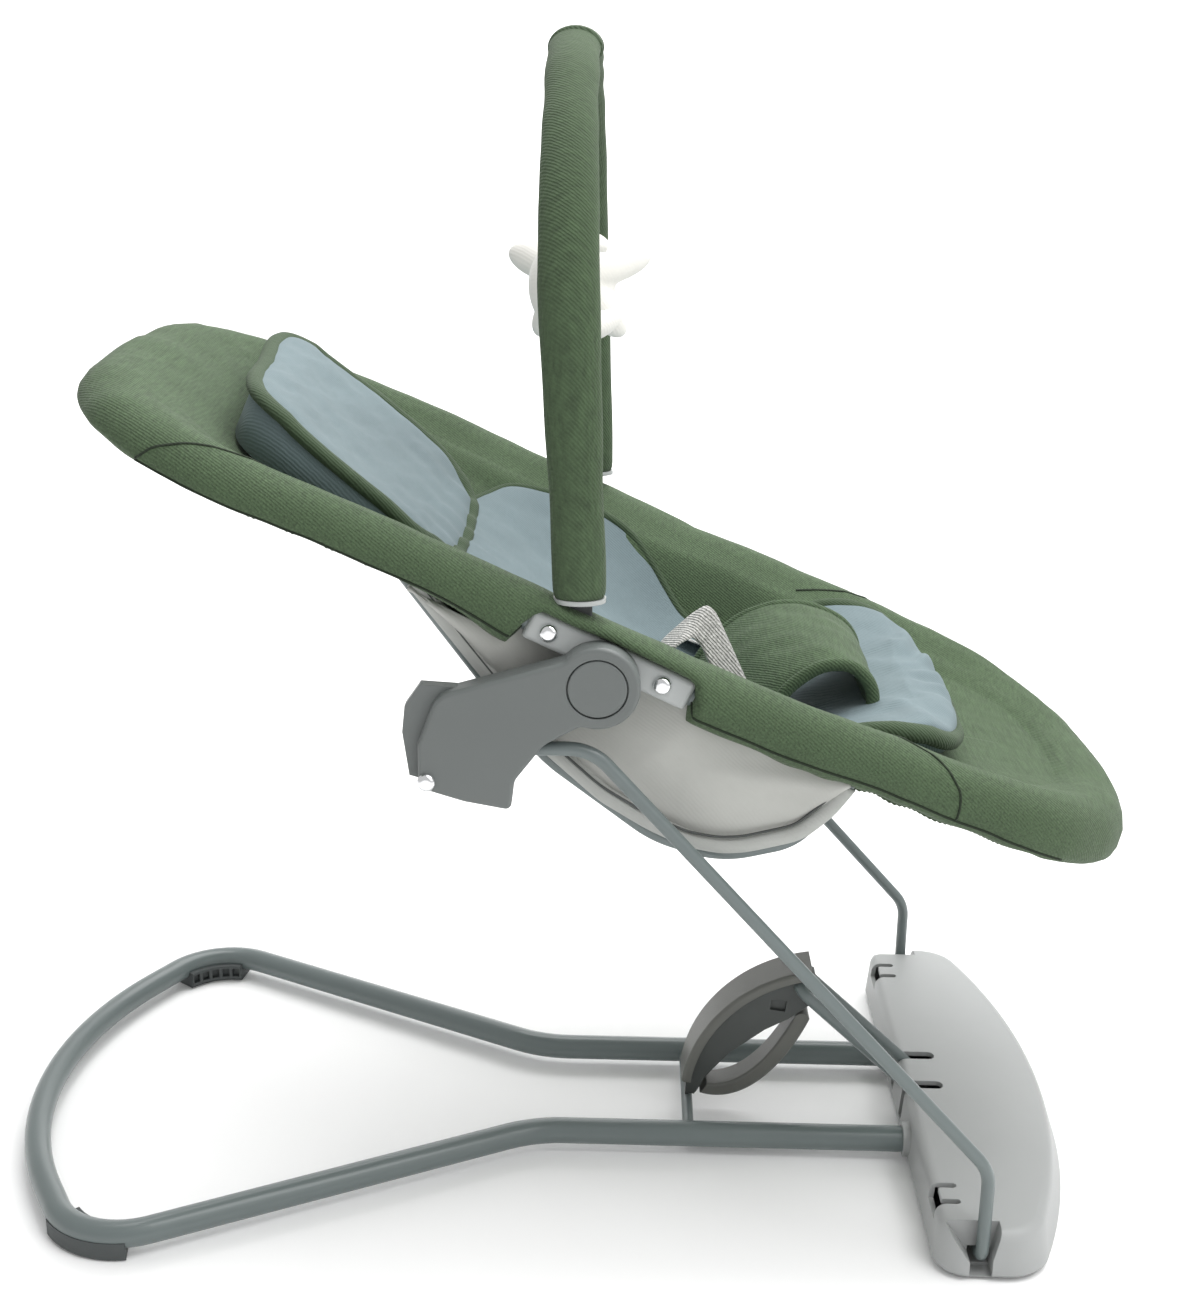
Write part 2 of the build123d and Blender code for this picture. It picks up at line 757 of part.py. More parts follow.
save(bucket_panel.part, "bucket_panel")


with BuildPart() as seat_sling:
    with BuildSketch(seat_side):
        slab(-sling_low, 0, -400, 400)
    extrude(amount=sling_half, both=True)
    # narrower at both ends, where the rim turns in
    with BuildSketch(seat_plane.offset(-150)):
        with BuildLine() as outline:
            FilletPolyline(
                *[(u, y) for u, y in ((-324, 118), (-290, 164), (190, 164), (318, 146), (381, 72))],
                *[(u, y) for u, y in ((381, -72), (318, -146), (190, -164), (-290, -164), (-324, -118))],
                radius=15,
                close=True,
            )
        make_face(outline.edges())
    extrude(amount=300, mode=Mode.INTERSECT)
save(seat_sling.part, "seat_sling")

with BuildPart() as head_pillow:
    with BuildSketch(seat_side):
        slab(gap, 22, -300, -116)
    extrude(amount=138, both=True)
    with BuildSketch(seat_plane.offset(-60)):
        with Locations((-208, 0)):
            RectangleRounded(190, 276, 40)
    extrude(amount=160, mode=Mode.INTERSECT)
save(head_pillow.part, "head_pillow")

insert_half = 122.0
with BuildPart() as body_insert:
    with BuildSketch(seat_side):
        slab(gap, 14, -115, 290)
    extrude(amount=insert_half, both=True)
save(body_insert.part, "body_insert")

# harness: a crotch band over the insert, two waist straps and a buckle
band_half = 38.0
with BuildPart() as crotch_band:
    with BuildSketch(seat_side):
        with BuildLine():
            over = Spline((112, -60.5), (128, -22), (160, 2), (196, -3), (216, -15))
            under = Spline((120, -62), (134, -27), (162, -5), (196, -10), (214, -19.5))
            Line(over @ 0, under @ 0)
            Line(over @ 1, under @ 1)
        make_face()
    extrude(amount=band_half, both=True)
save(crotch_band.part, "crotch_band")

strap_width = 25.0
for side, name in ((-1, "right"), (1, "left")):
    with BuildPart() as waist_strap:
        across = Plane(origin=seat_plane.from_local_coords((72, 0, 0)), x_dir=(0, 1, 0), z_dir=seat_u)
        with BuildSketch(across):
            with BuildLine() as outline:
                FilletPolyline(
                    *[(side * y, h) for y, h in ((168, -30), (150, -36), (112, -62), (34, -63))],
                    radius=[14, 18],
                )
            trace(outline.edges(), 2.0)
        extrude(amount=strap_width / 2, both=True)
    save(waist_strap.part, f"waist_strap_{name}")

with BuildPart() as buckle:
    with BuildSketch(seat_plane.offset(-64)):
        with Locations((72, 0)):
            RectangleRounded(40, 62, 8)
    extrude(amount=10)
    fillet(faces().sort_by(Axis.Z)[-1].edges(), 2)
save(buckle.part, "buckle")

# --- Toy bar ----------------------------------------------------------------------

bar_spring_line = 644.0
bar_half = 186.3
bar_top = bar_spring_line + bar_half
core_radius = 6.0
post_bottom = 458.0

with BuildPart() as bar_core:
    with BuildLine(Plane(origin=(post_x, 0, 0), x_dir=(0, 1, 0), z_dir=(1, 0, 0))) as route:
        Line((-bar_half, bar_foot + 14), (-bar_half, bar_spring_line))
        ThreePointArc((-bar_half, bar_spring_line), (0, bar_top), (bar_half, bar_spring_line))
        Line((bar_half, bar_spring_line), (bar_half, bar_foot + 14))
    with BuildSketch(Plane(origin=route.line @ 0, z_dir=route.line % 0)):
        Circle(core_radius)
    sweep(path=route.line)
save(bar_core.part, "bar_core")

with BuildPart() as bar_sleeve:
    with BuildLine(Plane(origin=(post_x, 0, 0), x_dir=(0, 1, 0), z_dir=(1, 0, 0))) as route:
        Line((-bar_half, bar_foot + 3), (-bar_half, bar_spring_line))
        ThreePointArc((-bar_half, bar_spring_line), (0, bar_top), (bar_half, bar_spring_line))
        Line((bar_half, bar_spring_line), (bar_half, bar_foot + 3))
    with BuildSketch(Plane(origin=route.line @ 0, x_dir=(1, 0, 0), z_dir=(0, 0, 1))):
        Ellipse(16, 11.5)
        Circle(core_radius, mode=Mode.SUBTRACT)
        RectangleRounded(14.4, 6.8, 1, mode=Mode.SUBTRACT)
    sweep(path=route.line)
save(bar_sleeve.part, "bar_sleeve")

for side, name in ((-1, "right"), (1, "left")):
    with BuildPart() as bar_post:
        with BuildSketch(Plane.XY.offset(post_bottom)):
            with Locations((post_x, side * bar_half)):
                RectangleRounded(16.4, 7.6, 1.5)
        extrude(amount=bar_foot - post_bottom)
        with BuildSketch(Plane.XY.offset(bar_foot)):
            with Locations((post_x, side * bar_half)):
                RectangleRounded(14, 6.4, 1)
        extrude(amount=14)
    save(bar_post.part, f"bar_post_{name}")
    with BuildPart() as bar_cuff:
        with BuildSketch(Plane.XY.offset(bar_foot)):
            with Locations((post_x, side * bar_half)):
                Ellipse(17, 12.5)
                RectangleRounded(14, 6.4, 1, mode=Mode.SUBTRACT)
        extrude(amount=3)
    save(bar_cuff.part, f"bar_cuff_{name}")

# --- Hanging toys -------------------------------------------------------------------

toy_x = post_x
loop_radius = 17.2
toys = {"star": (26.0, 681.0), "moon": (-34.0, 672.0)}


def bar_height(y):
    """Height of the bar's middle line at this y."""
    return bar_spring_line + (bar_half**2 - y**2) ** 0.5


for name, (y, z) in toys.items():
    # a ribbon loop round the sleeve, with its two ends sewn into the toy
    with BuildPart() as toy_ribbon:
        with BuildSketch(side_plane(y - 4)):
            with Locations((toy_x, bar_height(y))):
                Circle(loop_radius)
                Circle(loop_radius - 0.8, mode=Mode.SUBTRACT)
            with Locations((toy_x, (bar_height(y) - loop_radius + 0.4 + z + 34) / 2)):
                Rectangle(2, bar_height(y) - loop_radius + 0.4 - z - 34)
        extrude(amount=-8)
    save(toy_ribbon.part, f"{name}_ribbon")

star_points = 5
star_tip, star_notch = 50.0, 27.0
with BuildPart() as star:
    with BuildSketch(side_plane(toys["star"][0])):
        with BuildLine() as outline:
            corners = []
            for n in range(2 * star_points):
                reach = star_notch if n % 2 else star_tip
                turn = radians(90 + 180 * n / star_points)
                corners.append((toy_x + reach * cos(turn), toys["star"][1] + reach * sin(turn)))
            FilletPolyline(*corners, radius=5, close=True)
        make_face(outline.edges())
    extrude(amount=15, both=True)
    fillet(faces().filter_by(Axis.Y).edges(), 4)
save(star.part, "star")

with BuildPart() as moon:
    with BuildSketch(side_plane(toys["moon"][0])):
        with Locations((toy_x - 1, toys["moon"][1])):
            Circle(44)
        with Locations((toy_x + 15, toys["moon"][1] + 8)):
            Circle(35, mode=Mode.SUBTRACT)
        fillet(vertices().sort_by(Axis.X)[-2:], 4)
    extrude(amount=13, both=True)
    fillet(faces().filter_by(Axis.Y).edges(), 4)
save(moon.part, "moon")
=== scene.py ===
"""Baby bouncer seat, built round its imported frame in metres: +X to the foot end, +Y to the baby's left."""

import json

import bmesh
import bpy
import numpy as np
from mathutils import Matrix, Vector


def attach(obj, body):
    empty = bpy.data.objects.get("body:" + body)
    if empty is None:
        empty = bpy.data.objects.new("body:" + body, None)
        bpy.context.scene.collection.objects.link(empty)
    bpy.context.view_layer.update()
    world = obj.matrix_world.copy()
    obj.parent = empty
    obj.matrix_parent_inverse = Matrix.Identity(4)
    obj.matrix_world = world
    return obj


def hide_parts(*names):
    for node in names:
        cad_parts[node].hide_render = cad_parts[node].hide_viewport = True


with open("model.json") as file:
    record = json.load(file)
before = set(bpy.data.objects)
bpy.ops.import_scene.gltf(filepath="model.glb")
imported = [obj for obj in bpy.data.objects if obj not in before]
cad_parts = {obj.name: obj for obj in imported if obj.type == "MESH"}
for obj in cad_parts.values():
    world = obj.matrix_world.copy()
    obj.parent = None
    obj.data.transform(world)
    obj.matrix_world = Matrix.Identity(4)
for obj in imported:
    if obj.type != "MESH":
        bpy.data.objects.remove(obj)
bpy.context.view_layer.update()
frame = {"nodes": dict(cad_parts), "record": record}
nodes = frame["nodes"]
record = frame["record"]

# --- Frame, housing and fittings ------------------------------------------------------
# Painted steel tube and wire, moulded grey shells with a fine grain and softened edges,
# rubber feet, zinc screws and chrome rivets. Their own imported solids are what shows.


def effect(name, inputs, outputs):
    group = bpy.data.node_groups.new(name, "ShaderNodeTree")
    for label, kind in inputs:
        group.interface.new_socket(label, in_out="INPUT", socket_type=kind)
    for label, kind in outputs:
        group.interface.new_socket(label, in_out="OUTPUT", socket_type=kind)
    nodes_in = group.nodes.new("NodeGroupInput")
    nodes_out = group.nodes.new("NodeGroupOutput")
    return group, nodes_in.outputs, nodes_out.inputs


def math_node(tree, operation, a, b):
    node = tree.nodes.new("ShaderNodeMath")
    node.operation = operation
    for socket, value in zip(node.inputs, (a, b)):
        if isinstance(value, (int, float)):
            socket.default_value = value
        else:
            tree.links.new(value, socket)
    return node.outputs[0]


def noise_node(tree, vector, scale, detail, rough=0.6):
    node = tree.nodes.new("ShaderNodeTexNoise")
    node.inputs["Scale"].default_value = scale
    node.inputs["Detail"].default_value = detail
    node.inputs["Roughness"].default_value = rough
    tree.links.new(vector, node.inputs["Vector"])
    return node.outputs["Fac"]


def tinted(tree, colour, factor):
    """Colour times a factor, in RGB."""
    node = tree.nodes.new("ShaderNodeVectorMath")
    node.operation = "SCALE"
    tree.links.new(colour, node.inputs[0])
    tree.links.new(factor, node.inputs["Scale"])
    return node.outputs[0]


FLOAT = "NodeSocketFloat"
COLOUR = "NodeSocketColor"
VECTOR = "NodeSocketVector"
mould, given, result = effect(
    "Mould",
    [("Colour", COLOUR), ("Relief", FLOAT)],
    [("Colour", COLOUR), ("Normal", VECTOR), ("Rough", FLOAT)],
)
place = mould.nodes.new("ShaderNodeTexCoord").outputs["Object"]
fine = noise_node(mould, place, 1600.0, 2.0)
wide = noise_node(mould, place, 9.0, 3.0)
uneven = math_node(mould, "MULTIPLY", math_node(mould, "SUBTRACT", wide, 0.5), 0.16)
level = math_node(mould, "ADD", uneven, 1.0)
mould.links.new(tinted(mould, given["Colour"], level), result["Colour"])
sheen_change = math_node(mould, "MULTIPLY", wide, 0.14)
mould.links.new(math_node(mould, "ADD", sheen_change, 0.36), result["Rough"])
bump = mould.nodes.new("ShaderNodeBump")
bump.inputs["Distance"].default_value = 0.0002
mould.links.new(given["Relief"], bump.inputs["Strength"])
mould.links.new(fine, bump.inputs["Height"])
rounded = mould.nodes.new("ShaderNodeBevel")
rounded.inputs["Radius"].default_value = 0.0009
mould.links.new(rounded.outputs[0], bump.inputs["Normal"])
mould.links.new(bump.outputs[0], result["Normal"])


def material(name, group, colour, values, rough=None, metallic=0.0, sheen=0.0, coat=0.0):
    made = bpy.data.materials.new(name)
    made.use_nodes = True
    tree = made.node_tree
    shader = tree.nodes["Principled BSDF"]
    node = tree.nodes.new("ShaderNodeGroup")
    node.node_tree = group
    node.inputs["Colour"].default_value = (*colour, 1.0)
    for label, value in values.items():
        node.inputs[label].default_value = value
    tree.links.new(node.outputs["Colour"], shader.inputs["Base Color"])
    tree.links.new(node.outputs["Normal"], shader.inputs["Normal"])
    if rough is None:
        tree.links.new(node.outputs["Rough"], shader.inputs["Roughness"])
    else:
        shader.inputs["Roughness"].default_value = rough
    shader.inputs["Metallic"].default_value = metallic
    shader.inputs["Sheen Weight"].default_value = sheen
    shader.inputs["Coat Weight"].default_value = coat
    made.diffuse_color = (*colour, 1.0)
    return made


hard_finishes = {
    "frame_steel": material("frame steel", mould, (0.128, 0.155, 0.153), {"Relief": 0.1}, 0.34, coat=0.15),
    "housing_plastic": material("housing plastic", mould, (0.345, 0.355, 0.352), {"Relief": 0.35}),
    "bracket_plastic": material("bracket plastic", mould, (0.125, 0.138, 0.134), {"Relief": 0.35}),
    "saddle_plastic": material("saddle plastic", mould, (0.4, 0.42, 0.415), {"Relief": 0.35}),
    "strut_plastic": material("strut plastic", mould, (0.115, 0.118, 0.106), {"Relief": 0.35}),
    "strut_dark": material("strut side", mould, (0.052, 0.058, 0.055), {"Relief": 0.35}),
    "foot_rubber": material("foot rubber", mould, (0.06, 0.068, 0.068), {"Relief": 0.6}, 0.65),
    "chrome_rivet": material("chrome", mould, (0.8, 0.81, 0.82), {"Relief": 0.0}, 0.1, metallic=1.0),
    "zinc_steel": material("zinc", mould, (0.55, 0.56, 0.57), {"Relief": 0.2}, 0.35, metallic=1.0),
    "bar_black": material("bar black", mould, (0.012, 0.016, 0.015), {"Relief": 0.3}),
    "cuff_plastic": material("cuff plastic", mould, (0.38, 0.40, 0.39), {"Relief": 0.1}, 0.25),
}
slots = {part["node"]: part["material_slot"] for part in record["subparts"]}


def dress(slot, finish):
    """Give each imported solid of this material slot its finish."""
    for name, node in nodes.items():
        if slots[name] == slot:
            node.data.materials.clear()
            node.data.materials.append(finish)


for slot, finish in hard_finishes.items():
    dress(slot, finish)

# --- Seat cover -----------------------------------------------------------------------
# One padded cover of green melange: a rim roll round the hoops that runs down into the
# hollow, closed underneath. Drawn in mm in the seat's own tilted plane: u to the feet, y
# across, h square to it.
weave, given, result = effect(
    "Weave",
    [("Colour", COLOUR), ("Streaks", VECTOR), ("Contrast", FLOAT), ("Relief", FLOAT)],
    [("Colour", COLOUR), ("Normal", VECTOR)],
)
place = weave.nodes.new("ShaderNodeTexCoord").outputs["Object"]
stretched = weave.nodes.new("ShaderNodeVectorMath")
stretched.operation = "MULTIPLY"
weave.links.new(place, stretched.inputs[0])
weave.links.new(given["Streaks"], stretched.inputs[1])
slub = noise_node(weave, stretched.outputs[0], 1.0, 3.0)
cloudy = noise_node(weave, place, 14.0, 2.0)
grain = noise_node(weave, place, 900.0, 2.0)
slub_part = math_node(weave, "MULTIPLY", slub, 0.7)
grain_part = math_node(weave, "MULTIPLY", grain, 0.3)
mixed = math_node(weave, "ADD", slub_part, grain_part)
spread = math_node(weave, "MULTIPLY", math_node(weave, "SUBTRACT", mixed, 0.5), given["Contrast"])
broad = math_node(weave, "MULTIPLY", math_node(weave, "SUBTRACT", cloudy, 0.5), 0.25)
level = math_node(weave, "ADD", math_node(weave, "ADD", spread, broad), 1.0)
weave.links.new(tinted(weave, given["Colour"], level), result["Colour"])
twill = weave.nodes.new("ShaderNodeTexWave")
twill.bands_direction = "DIAGONAL"
twill.inputs["Scale"].default_value = 190.0
twill.inputs["Distortion"].default_value = 1.5
twill.inputs["Detail"].default_value = 1.0
weave.links.new(place, twill.inputs["Vector"])
ribs = math_node(weave, "MULTIPLY", twill.outputs["Fac"], 0.35)
lumps = math_node(weave, "MULTIPLY", slub, 0.6)
creasing = math_node(weave, "MULTIPLY", noise_node(weave, place, 45.0, 3.0), 1.2)
height = math_node(weave, "ADD", ribs, math_node(weave, "ADD", lumps, creasing))
bump = weave.nodes.new("ShaderNodeBump")
bump.inputs["Distance"].default_value = 0.0016
weave.links.new(given["Relief"], bump.inputs["Strength"])
weave.links.new(height, bump.inputs["Height"])
weave.links.new(bump.outputs[0], result["Normal"])


def cloth(name, colour, streaks, contrast, relief, sheen):
    values = {"Streaks": streaks, "Contrast": contrast, "Relief": relief}
    return material(name, weave, colour, values, 0.9, sheen=sheen)


green = cloth("green melange", (0.053, 0.087, 0.041), (650, 50, 650), 2.0, 0.6, 0.06)
dress("green_fabric", green)

seat_x = 40.4
seat_z = 457.9
tilt_cos = 0.9063
tilt_sin = 0.4226


def at(u, y, h):
    """Points in mm from the seat's own plane, which bends up at the calves and down at the head."""
    u, y, h = np.broadcast_arrays(u, y, h)
    h = h + 8 * np.clip((u - 60) / 150, 0, 1) - 6 * np.clip((u - 290) / 110, 0, 1)
    h = h - 7 * np.clip((-150 - u) / 150, 0, 1)
    along_x = seat_x + tilt_cos * u + tilt_sin * h
    upward = seat_z - tilt_sin * u + tilt_cos * h
    return np.stack([along_x, y, upward], -1)


def flow(points, count, soften, closed=False):
    """Even points along a softened line through these corners."""
    line = np.array(points, float)
    if closed:
        line = np.vstack([line, line[:1]])
    far = np.concatenate([[0], np.cumsum(np.linalg.norm(np.diff(line, axis=0), axis=1))])
    dense = 1500
    even = np.linspace(0, far[-1], dense, endpoint=not closed)
    line = np.stack([np.interp(even, far, axis) for axis in line.T], -1)
    step = far[-1] / dense
    reach = max(int(3 * soften / step), 1)
    kernel = np.exp(-0.5 * (np.arange(-reach, reach + 1) * step / max(soften, 1e-6)) ** 2)
    kernel /= kernel.sum()
    if closed:
        padded = np.vstack([line[-reach:], line, line[:reach]])
    else:
        before = 2 * line[0] - line[reach:0:-1]
        after = 2 * line[-1] - line[-2 : -reach - 2 : -1]
        padded = np.vstack([before, line, after])
    line = np.stack([np.convolve(axis, kernel, "valid") for axis in padded.T], -1)
    if closed:
        line = np.vstack([line, line[:1]])
    far = np.concatenate([[0], np.cumsum(np.linalg.norm(np.diff(line, axis=0), axis=1))])
    even = np.linspace(0, far[-1], count, endpoint=not closed)
    return np.stack([np.interp(even, far, axis) for axis in line.T], -1)


def solid(name, grids, finish, body, weld=0.05):
    """One mesh in metres from grids of points in mm: (points, wraps along rows, wraps along columns)."""
    mesh = bpy.data.meshes.new(name)
    shape = bmesh.new()
    for grid, wrap_rows, wrap_columns in grids:
        rows, columns = grid.shape[:2]
        verts = [[shape.verts.new(p * 0.001) for p in row] for row in grid]
        for i in range(rows if wrap_rows else rows - 1):
            for j in range(columns if wrap_columns else columns - 1):
                a, b = verts[i][j], verts[(i + 1) % rows][j]
                c, d = verts[(i + 1) % rows][(j + 1) % columns], verts[i][(j + 1) % columns]
                shape.faces.new((a, b, c, d))
    bmesh.ops.remove_doubles(shape, verts=shape.verts, dist=weld * 0.001)
    bmesh.ops.holes_fill(shape, edges=[e for e in shape.edges if e.is_boundary], sides=64)
    bmesh.ops.recalc_face_normals(shape, faces=shape.faces)
    shape.to_mesh(mesh)
    shape.free()
    mesh.materials.append(finish)
    mesh.shade_smooth()
    thing = bpy.data.objects.new(name, mesh)
    bpy.context.scene.collection.objects.link(thing)
    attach(thing, body)
    return thing


def ripple(points, size, seed):
    """Smooth noise, about -1 to 1, at points in mm with features of this size."""
    wave = np.random.default_rng(seed)
    total = np.zeros(points.shape[:-1])
    waves = 9
    for n in range(waves):
        way = wave.normal(size=3)
        way *= wave.uniform(0.6, 1.6) / np.linalg.norm(way) / size * 2 * np.pi
        total += np.sin(points @ way + wave.uniform(0, 6.3))
    return total / (waves / 2)


half_outline = [(-390, 0), (-389, 60), (-382, 116), (-360, 161), (-323, 188), (-285, 199), (-239, 204)]
half_outline += [(-180, 205), (-110, 204), (0, 204), (110, 205), (174, 203), (219, 198), (271, 190)]
half_outline += [(307, 184), (330, 177), (353, 166), (388, 135), (410, 98), (421, 48), (424, 0)]
outline = np.array([(u, -y) for u, y in half_outline] + [(u, y) for u, y in half_outline[-2:0:-1]])
rim = flow(outline, 520, 11, closed=True)
rim = rim - [0, rim[:, 1].mean()]
along = np.roll(rim, -1, 0) - np.roll(rim, 1, 0)
along /= np.linalg.norm(along, axis=1)[:, None]
inward = np.stack([-along[:, 1], along[:, 0]], -1)
# the roll's section from its lower to its upper edge: inward from the rim, and up
roll_in = np.array([40, 33, 24, 14, 5.5, 0.8, 0.2, 2.5, 8, 17, 28, 39, 50.0])
roll_up = np.array([-14, -18, -20.5, -20, -15.5, -8, 0, 8.5, 15.5, 20, 19.5, 14, 5.0])
# depth of the hollow along its middle line
hollow_u = np.array([-368, -330, -300, -230, -120, -40, 30, 95, 140, 172, 205, 250, 300, 340, 380, 421.0])
hollow_h = np.array([18, 18, 8, -14, -30, -50, -74, -86, -77, -55, -32, -18, -6, 6, 14, 17.0])
fine_u = np.linspace(-368, 421, 400)
kernel = np.exp(-0.5 * (np.arange(-24, 25) / 8.0) ** 2)
stepped = np.pad(np.interp(fine_u, hollow_u, hollow_h), 24, "edge")
fine_h = np.convolve(stepped, kernel / kernel.sum(), "valid")
sides_only = half_outline[4:-4]
roll_width = 50
half_width = np.interp(fine_u, [u for u, y in sides_only], [y for u, y in sides_only]) - roll_width


def edge_height(u):
    """Height of the cloth where the rim roll ends and the hollow starts."""
    return 5 + 12 * np.clip((u - 250) / 110, 0, 1) + 13 * np.clip((-250 - u) / 70, 0, 1)


def hollow(u, y):
    """Height of the cloth inside the rim."""
    across = np.clip(np.abs(y) / np.interp(u, fine_u, half_width), 0, 1)
    deep = np.clip(-np.interp(u, fine_u, fine_h) / 80, 0, 1)
    bowl = 1 - across ** (2.2 + 2.2 * deep)
    edge = edge_height(u)
    return edge + (np.interp(u, fine_u, fine_h) - edge) * bowl


lip = edge_height(rim[:, 0])
blend = np.clip((roll_in - 17) / 33, 0, 1) ** 1.5
foot_end = 1 + 0.3 * np.clip((rim[:, 0] - 230) / 130, 0, 1)
head_end = 1 - 0.5 * np.clip((-60 - rim[:, 0]) / 60, 0, 1)
swell = np.where(roll_up[None] < 0, head_end[:, None] * (1.6 - 0.6 * foot_end[:, None]), foot_end[:, None])
rise = roll_up[None] * swell + blend[None] * (lip - 5)[:, None]
# over each saddle the cloth lies on top of the plastic
saddled = np.clip((rim[:, 0] + 56) / 10, 0, 1) * np.clip((72 - rim[:, 0]) / 10, 0, 1)
saddle_in = np.array([36, 34, 32, 31, 30, 29, 8, 3, 6, 15, 27, 39, 50.0])
saddle_up = np.array([-8, -4, 0, 4, 8, 11.4, 11.8, 14.5, 18.5, 21, 20, 14, 5.0])
sunk = roll_in[None] * (1 - saddled[:, None]) + saddle_in[None] * saddled[:, None]
rise = rise * (1 - saddled[:, None]) + saddle_up[None] * saddled[:, None]
flat = rim[:, None] + inward[:, None] * sunk[..., None]
roll = np.concatenate([flat, rise[..., None]], -1)
spine = np.interp(rim[:, 0], (-368, 419), (-285, 330))
inner = roll[:, -1]
steps = np.linspace(0, 1, 46)[1:]
plan_u = inner[:, :1] + (spine[:, None] - inner[:, :1]) * steps
plan_y = inner[:, 1:2] * (1 - steps)
well = hollow(plan_u, plan_y)
fade = np.clip(steps / 0.15, 0, 1)
well = inner[:, 2:] * (1 - fade) + well * fade
top = np.concatenate([at(roll[..., 0], roll[..., 1], roll[..., 2]), at(plan_u, plan_y, well)], 1)
puff = ripple(top, 75, 3) * 1.1 + ripple(top, 26, 4) * 0.35
puff *= np.concatenate([np.ones(len(roll_in)), 1 - 0.3 * steps])[None]
creased = np.array([1, 1, 0.9, 0.5, 0.15] + [0] * (top.shape[1] - 5))
creases = np.sin(rim[:, :1] / 5.5 + 2 * np.sin(rim[:, :1] / 31)) * creased[None]
top[..., 2] += puff + 1.2 * creases
foldlines = np.exp(-((plan_u - 225 - 0.25 * plan_y) / 16) ** 2) * np.sin(plan_y / 11.0) * 1.2
top[:, len(roll_in):, 2] += foldlines
cover_thickness = 6
under = at(plan_u, plan_y, well - cover_thickness)
tuck = at(roll[:, -2:-1, 0], roll[:, -2:-1, 1], roll[:, -2:-1, 2] - 14)
under = np.concatenate([under[:, ::-1], tuck], 1)
cover = solid("seat_cover", [(np.concatenate([top, under], 1), True, True)], green, "seat")
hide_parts("rim_cover", "seat_sling")

# --- Cover seams ----------------------------------------------------------------------
# A sewn line low on each side of the rim, a ribbed binding below it, and an arched seam
# over the roll near each corner.
green_dark = cloth("green binding", (0.04, 0.067, 0.032), (300, 300, 300), 0.5, 0.6, 0.06)
# The seam lines are near-black green: painted shade in their sewn grooves.
painted_seam_shade = cloth("green painted seam shade", (0.014, 0.024, 0.011), (300, 300, 300), 0.3, 0.4, 0.0)


def on_roll(u, side, part, proud=0.3):
    """A point of the rim roll: this far along the side, this far round its section."""
    own = np.where(rim[:, 1] * side > 0)[0]
    order = own[np.argsort(rim[own, 0])]
    spots = top[order]
    place_u = rim[order, 0]
    index = np.clip(part, 0, len(roll_in) - 1.001)
    low = np.floor(index).astype(int)
    share = (index - low)[:, None]
    columns = [spots[:, n, k] for n in range(len(roll_in)) for k in range(3)]
    near = np.stack([np.interp(u, place_u, column) for column in columns], -1)
    near = near.reshape(len(u), len(roll_in), 3)
    rows = np.arange(len(u))
    spot = near[rows, low] * (1 - share) + near[rows, low + 1] * share
    middle = near[:, 3:11].mean(1)
    out = spot - middle
    return spot + proud * out / np.linalg.norm(out, axis=1)[:, None]


def pipe(path, wide, tall=None, up=None, sides=14, closed=False, ridges=None):
    """Grid of a tube along a path in mm; wide and tall are its half sizes."""
    count = len(path)
    if closed:
        ahead = np.roll(path, -1, 0) - np.roll(path, 1, 0)
    else:
        ahead = np.gradient(path, axis=0)
    ahead /= np.linalg.norm(ahead, axis=1)[:, None]
    up = np.array((tilt_sin, 0, tilt_cos)) if up is None else np.array(up, float)
    side = np.cross(ahead, np.broadcast_to(up, ahead.shape))
    side /= np.linalg.norm(side, axis=1)[:, None]
    lift = np.cross(side, ahead)
    turn = np.linspace(0, 2 * np.pi, sides, endpoint=False)
    wide = np.broadcast_to(wide, (count,))[:, None]
    tall = wide if tall is None else np.broadcast_to(tall, (count,))[:, None]
    if ridges is not None:
        wide, tall = wide * ridges[:, None], tall * ridges[:, None]
    sideways = side[:, None] * (wide * np.cos(turn))[..., None]
    upwards = lift[:, None] * (tall * np.sin(turn))[..., None]
    return path[:, None] + sideways + upwards


seams = []
for side in (-1, 1):
    u = np.linspace(-318, 350, 300)
    seams.append((pipe(on_roll(u, side, np.full(300, 4.6)), 1.0, sides=6), False, True))
    for corner, end in ((-318, -205), (262, 172)):
        reach = end - corner
        rising = [(corner + reach * 0.04, 6.6), (corner + reach * 0.25, 8.6), (corner + reach * 0.6, 10.2)]
        run = flow([(corner, 4.6), *rising, (end, 11.6)], 90, 3)
        seams.append((pipe(on_roll(run[:, 0], side, run[:, 1], 0.1), 0.9, sides=6), False, True))
seam = solid("cover_seams", seams, painted_seam_shade, "seat")
bindings = []
for side in (-1, 1):
    u = np.linspace(-300, 330, 900)
    ridges = 1 + 0.16 * np.sin(u / 0.62)
    line = on_roll(u, side, np.full(900, 2.2), 0.6)
    bindings.append((pipe(line, 4.0, 2.0, sides=8, ridges=ridges), False, True))
binding = solid("rim_binding", bindings, green_dark, "seat")

# --- Head pillow ----------------------------------------------------------------------
# A stuffed blue-grey pad over the head end, boxed at the top and drawn in at its lower
# edge, with a green binding sewn round its upper face.
blue_grey = cloth("blue-grey", (0.142, 0.189, 0.202), (260, 90, 260), 0.16, 0.35, 0.06)
dress("blue_grey_fabric", blue_grey)


